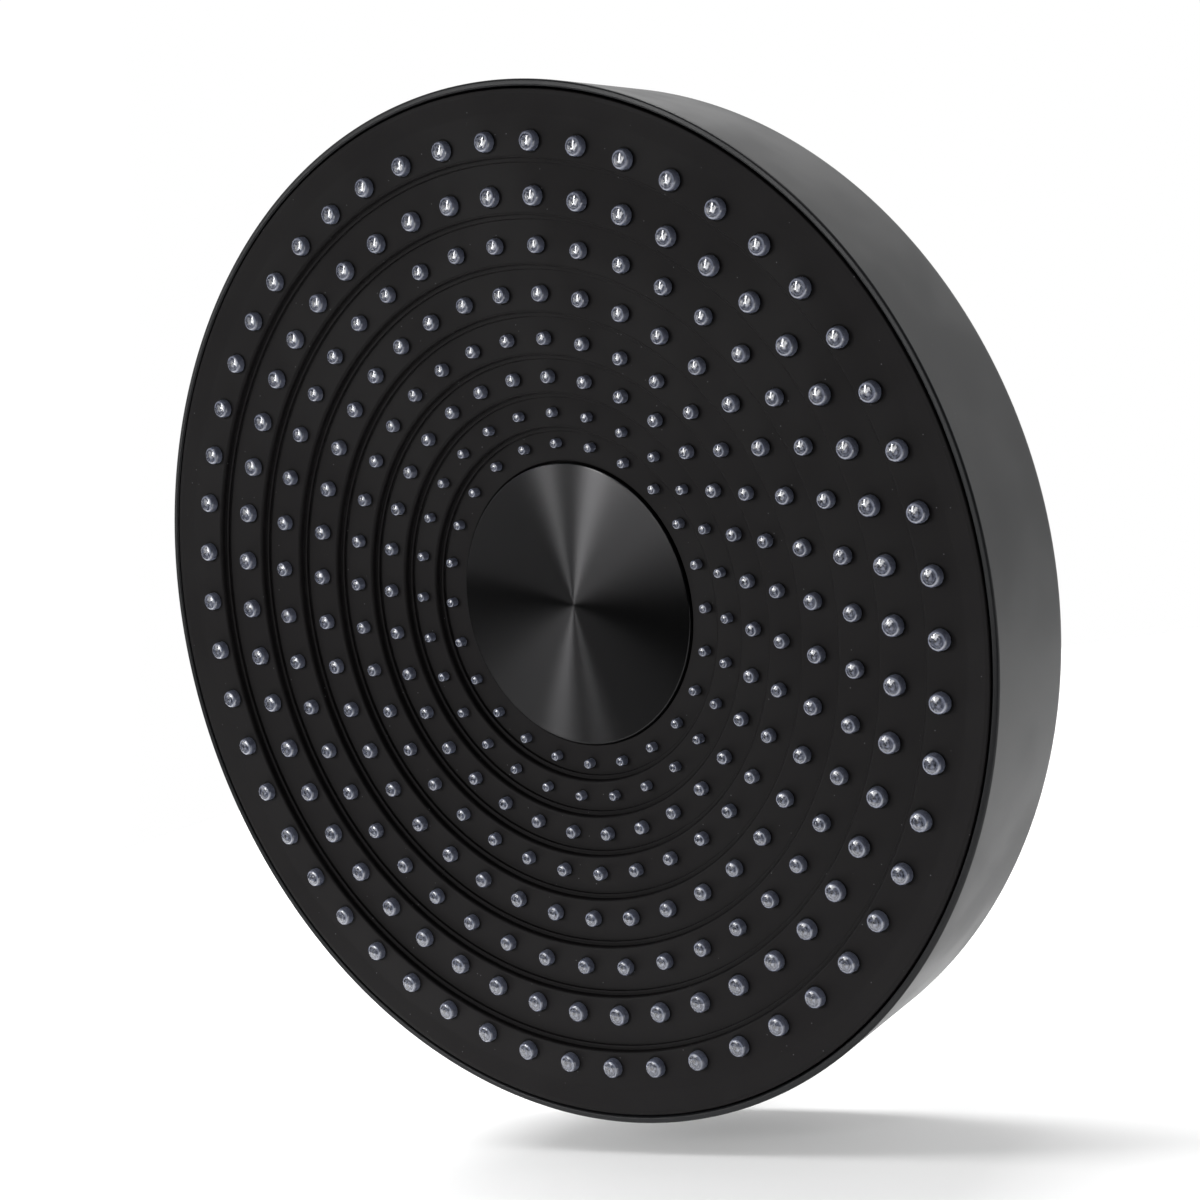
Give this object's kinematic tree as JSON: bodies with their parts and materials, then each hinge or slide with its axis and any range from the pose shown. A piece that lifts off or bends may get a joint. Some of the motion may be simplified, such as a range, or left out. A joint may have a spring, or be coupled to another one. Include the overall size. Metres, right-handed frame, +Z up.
{
  "type": "rainfall shower head",
  "caption": "Round overhead rain shower head: stepped concave nozzle face, deep side wall, centre disc, and a ball joint with an inlet socket.",
  "frame": {"origin": "centre of the inlet socket's mouth, on the axis of the stem, where the head screws onto a shower arm", "axes": "+Z up along the stem's axis, out of the socket; the head hangs below with its nozzles facing -Z; X and Y each pass through one nozzle of every ring"},
  "size_m": [0.25, 0.25, 0.0838],
  "materials": {
    "matt_black_plastic": "fine satin grain, matt black",
    "satin_black_plastic": "smooth satin black",
    "clear_grey_silicone": "translucent bluish grey, smooth",
    "black_spun_metal": "black, circular brushed, near mirror",
    "chamber_plastic": "moulded grey",
    "seal_rubber": "matt",
    "adhesive_foam": "matt foam",
    "black_coated_brass": "satin black coating",
    "seat_plastic": "smooth moulded",
    "screw_steel": "bright zinc plated"
  },
  "bodies": {
    "fixed_stem": {"ball_stem": "black_coated_brass", "inlet_gasket": "seal_rubber", "filter_screen": "screw_steel", "flow_restrictor": "seat_plastic"},
    "lower_ring": {"lower_seat": "seat_plastic"},
    "upper_ring": {"upper_seat": "seat_plastic"},
    "shower_head": {"ball_collar": "black_coated_brass", "neck_washer": "seal_rubber", "casing": "satin_black_plastic", "chamber_cover": "chamber_plastic", "chamber_seal": "seal_rubber", "cover_screw_1": "screw_steel", "cover_screw_2": "screw_steel", "cover_screw_3": "screw_steel", "cover_screw_4": "screw_steel", "cover_screw_5": "screw_steel", "cover_screw_6": "screw_steel", "face_plate": "matt_black_plastic", "nozzle_ring_1": "clear_grey_silicone", "nozzle_ring_2": "clear_grey_silicone", "nozzle_ring_3": "clear_grey_silicone", "nozzle_ring_4": "clear_grey_silicone", "nozzle_ring_5": "clear_grey_silicone", "nozzle_ring_6": "clear_grey_silicone", "nozzle_ring_7": "clear_grey_silicone", "nozzle_ring_8": "clear_grey_silicone", "centre_disc": "black_spun_metal", "disc_pad": "adhesive_foam"}
  },
  "joints": [
    {"name": "tilt_x", "type": "hinge", "parent": "fixed_stem", "child": "lower_ring", "pos_m": [0, 0, -0.0356], "axis": [1, 0, 0], "range_deg": [-12, 12]},
    {"name": "tilt_y", "type": "hinge", "parent": "lower_ring", "child": "upper_ring", "pos_m": [0, 0, -0.0356], "axis": [0, 1, 0], "range_deg": [-12, 12]},
    {"name": "head_spin", "type": "hinge", "parent": "upper_ring", "child": "shower_head", "pos_m": [0, 0, -0.0356], "axis": [0, 0, 1], "continuous": true}
  ]
}
